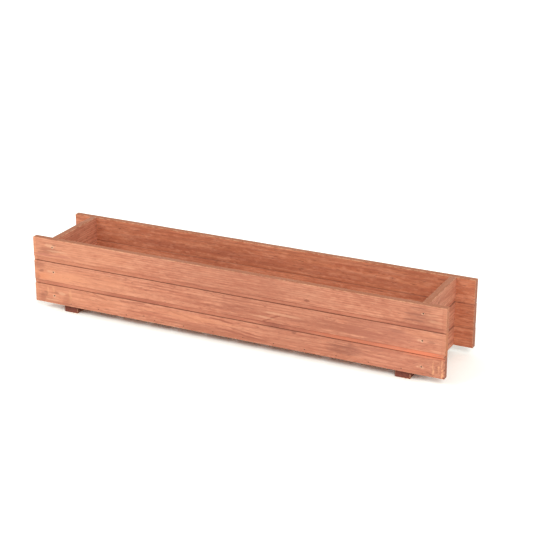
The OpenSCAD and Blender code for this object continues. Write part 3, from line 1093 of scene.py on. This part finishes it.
def draw_grain_line(wood, x1, up1, x2, up2, strength):
    """Lays one long line of the grain over the colour, from one place to another."""
    start, end = Vector(wood.spot(x1, up1)), Vector(wood.spot(x2, up2))
    run, middle = end - start, (start + end) / 2
    rise = math.atan2(run.y, run.x)
    patch = wood.oval(wood.ragged, (middle.x, 0, middle.y), (run.length / 2, 1, LINE_HALF), rise=rise)
    wood.lay(wood.between(patch, *LINE_FADE, 0.0, strength), LINE_TONE, wood.on_face)


print(sum(map(len, KNOTS.values())), "knots and", sum(map(len, GRAIN_LINES.values())), "long grain lines")

# %% [markdown]
# ## Finishing every board
# The order of the steps follows the real work and wear: the wood and its knots first, then the band, the
# painted shade in the joints, the stained ends and the painted shade on the upper edge, then what hands
# rubbed off, and the marks last of all. Gloss and relief follow the same noises as the colour, because it is
# the same wood that takes the stain, shines and stands proud.

# %% Finish the wood
# Each kind of piece: light, middle and dark tone, end tone, roughness, and width of worn arrises
FINISHES = {"rear_board": ("#DE9069", "#CF7E5A", "#AC6547", "#B8745A", 0.60, 0.0016),
            "board": ("#E39B7A", "#D68B6C", "#B66F55", "#B8745A", 0.60, 0.0016),
            "slat": ("#D59473", "#BF7E60", "#985F48", "#A5684F", 0.72, 0.0016),
            "foot": ("#94584A", "#7C463A", "#552F29", "#86493B", 0.70, 0.0022)}
PALE_ENDS = {"front_board_middle": "#E08A5C", "front_board_top": "#D98860"}
# How far through and up from a board's middle the middle line of its tree lay
PITHS = {"front_board_bottom": (0.050, 0.034), "front_board_middle": (0.034, -0.012),
         "front_board_top": (0.046, -0.052)}
# A foot's arrises are rubbed paler towards its +X side: wear, with a painted highlight on that side
RUB, FOOT_RUB_AND_HIGHLIGHT = 0.6, (0.25, 0.9)
GLOSS_SPREAD, SPECULAR = 0.08, 0.3
SUMMER_RELIEF, RELIEF, RELIEF_DEPTH = 0.4, 0.4, 0.0004


def finish_wood(node, number):
    """One piece's own stained wood."""
    kind = next(kind for kind in FINISHES if kind in node)
    light, middle, dark, end_tone, rough, arris_w = FINISHES[kind]
    wood = Wood(node, number)
    knots = knots_of(wood)
    pith = PITHS.get(node, (0.032 + 0.005 * (number % 5), 0.045 - 0.017 * (number % 6)))
    summer = growth_rings(wood, pith, knots)
    noises = stain(wood, summer, light, middle, dark)
    for knot in knots:
        draw_knot(wood, *knot)

    rubbed = shade_joints(wood)
    darken_ends(wood, summer, PALE_ENDS.get(node, end_tone))
    # the upper edge of the top board is darkened as painted shade
    if wood.course == "top":
        wood.line(wood.from_top, TOP_EDGE_PAINTED_SHADE)
    # on a foot the +X arrises are paler: wear with a painted highlight
    rub = wood.between(wood.through, -0.001, 0.001, *FOOT_RUB_AND_HIGHLIGHT) if kind == "foot" else RUB
    rub_arrises(wood, rubbed, arris_w, rub)

    if wood.in_long_wall:
        for strip in STRIPS:
            wipe_end(wood, *strip)
    for line in GRAIN_LINES.get(node, []):
        draw_grain_line(wood, *line)
    for mark in MARKS.get(node, []):
        draw_mark(wood, *mark)
    if wood.in_long_wall:
        for x in (wood.half.x - wall_nail_x, wood.half.x + wall_nail_x):
            draw_mark(wood, "halo", x * 1000, NAIL_UP[wood.course] * 1000, *HALO)

    gloss = wood.between(noises["patches"], 0.3, 0.7, rough + GLOSS_SPREAD, rough - GLOSS_SPREAD)
    height = wood.maths("MULTIPLY_ADD", summer, SUMMER_RELIEF, noises["fibres"])
    relief = wood.add("Bump", {"Height": height, "Strength": RELIEF, "Distance": RELIEF_DEPTH},
                      output="Normal")
    wood.feed("Principled BSDF", {"Base Color": wood.colour, "Roughness": gloss, "Normal": relief,
                                  "Specular IOR Level": SPECULAR})
    return wood.owner


for number, (node, piece) in enumerate(pieces.items()):
    piece.data.materials.append(finish_wood(node, number))
print(len(pieces), "pieces stained")

# %% [markdown]
# ## Dull nails
# The nails are zinc-plated steel that has lain in wet wood. Bare metal would sparkle in its holes, so one
# noise turns both the colour and the gloss down where the plate has tarnished.

# %% Dull nails
STEEL_TONE, TARNISH_TONE = "#7D6B5C", "#45362D"
steel = Recipe(bpy.data.materials.new("dull_nail_steel"))
place = steel.add("TexCoord", {}, output="Object")
tarnish = steel.add("TexNoise", {"Vector": place, "Scale": 900.0, "Detail": 3.0})
steel_colour = steel.glaze(paint(TARNISH_TONE), steel.between(tarnish, 0.35, 0.7), STEEL_TONE)
steel_gloss = steel.between(tarnish, 0.3, 0.7, 0.65, 0.42)
steel.feed("Principled BSDF", {"Base Color": steel_colour, "Roughness": steel_gloss, "Metallic": 0.7})
for piece in nails.values():
    piece.data.materials.append(steel.owner)
print(len(nails), "groups of nails in dull steel")

# %% [markdown]
# ## Floor and light
# The box stands on a plain white floor under a soft sky, with a broad lamp to each side of its front. A
# floor that is lit to pure white would need so much light that the wood bleached. So the floor is only
# brighter for the camera, and other rays meet an ordinary pale floor. In the same way the sky is white
# wherever it is seen or mirrored, and gives off less light than that.

# %% Floor
FLOOR_SIZE = 40.0
FLOOR_TONE, FLOOR_SEEN = (0.78, 0.77, 0.75, 1), (1.32, 1.42, 1.36, 1)
bpy.ops.object.select_all(action="DESELECT")
bpy.ops.mesh.primitive_plane_add(size=FLOOR_SIZE, location=(0, 0, 0))
floor = bpy.context.object
floor.name = "floor"
paper = Recipe(bpy.data.materials.new("pale_floor"))
paper.tree.nodes.remove(paper.tree.nodes["Principled BSDF"])
seen = paper.add("LightPath", {}, output="Is Camera Ray")
colour = paper.add("Mix", {0: seen, 6: FLOOR_TONE, 7: FLOOR_SEEN}, output=2, data_type="RGBA")
paper.feed("Material Output", {"Surface": paper.add("BsdfDiffuse", {"Color": colour})})
floor.data.materials.append(paper.owner)
print("floor", FLOOR_SIZE, "m wide")

# %% Sky and lamps
SKY_LEVEL = 0.66
LAMP_HEIGHT, LAMP_SPREAD = 36, 22
LAMPS = ((40, 1.16), (-40, 0.87))  # degrees from the front, and energy
sky = Recipe(bpy.data.worlds.new("soft_sky"))
bpy.context.scene.world = sky.owner
path = sky.add("LightPath", {}).node.outputs
seen = sky.maths("MAXIMUM", path["Is Camera Ray"], path["Is Glossy Ray"])
seen = sky.maths("MAXIMUM", seen, path["Is Transmission Ray"])
level = sky.add("MapRange", {"Value": seen, "To Min": SKY_LEVEL, "To Max": 1.0})
sky.feed("Background", {"Color": (1, 1, 1, 1), "Strength": level})

for turn, energy in LAMPS:
    aim = (math.radians(90 - LAMP_HEIGHT), 0, math.radians(turn))
    bpy.ops.object.light_add(type="SUN", rotation=aim)
    lamp = bpy.context.object
    lamp.data.angle = math.radians(LAMP_SPREAD)
    lamp.data.energy = energy
bpy.context.scene.view_settings.view_transform = "Standard"
print(len(LAMPS), "lamps,", LAMP_HEIGHT, "degrees up")
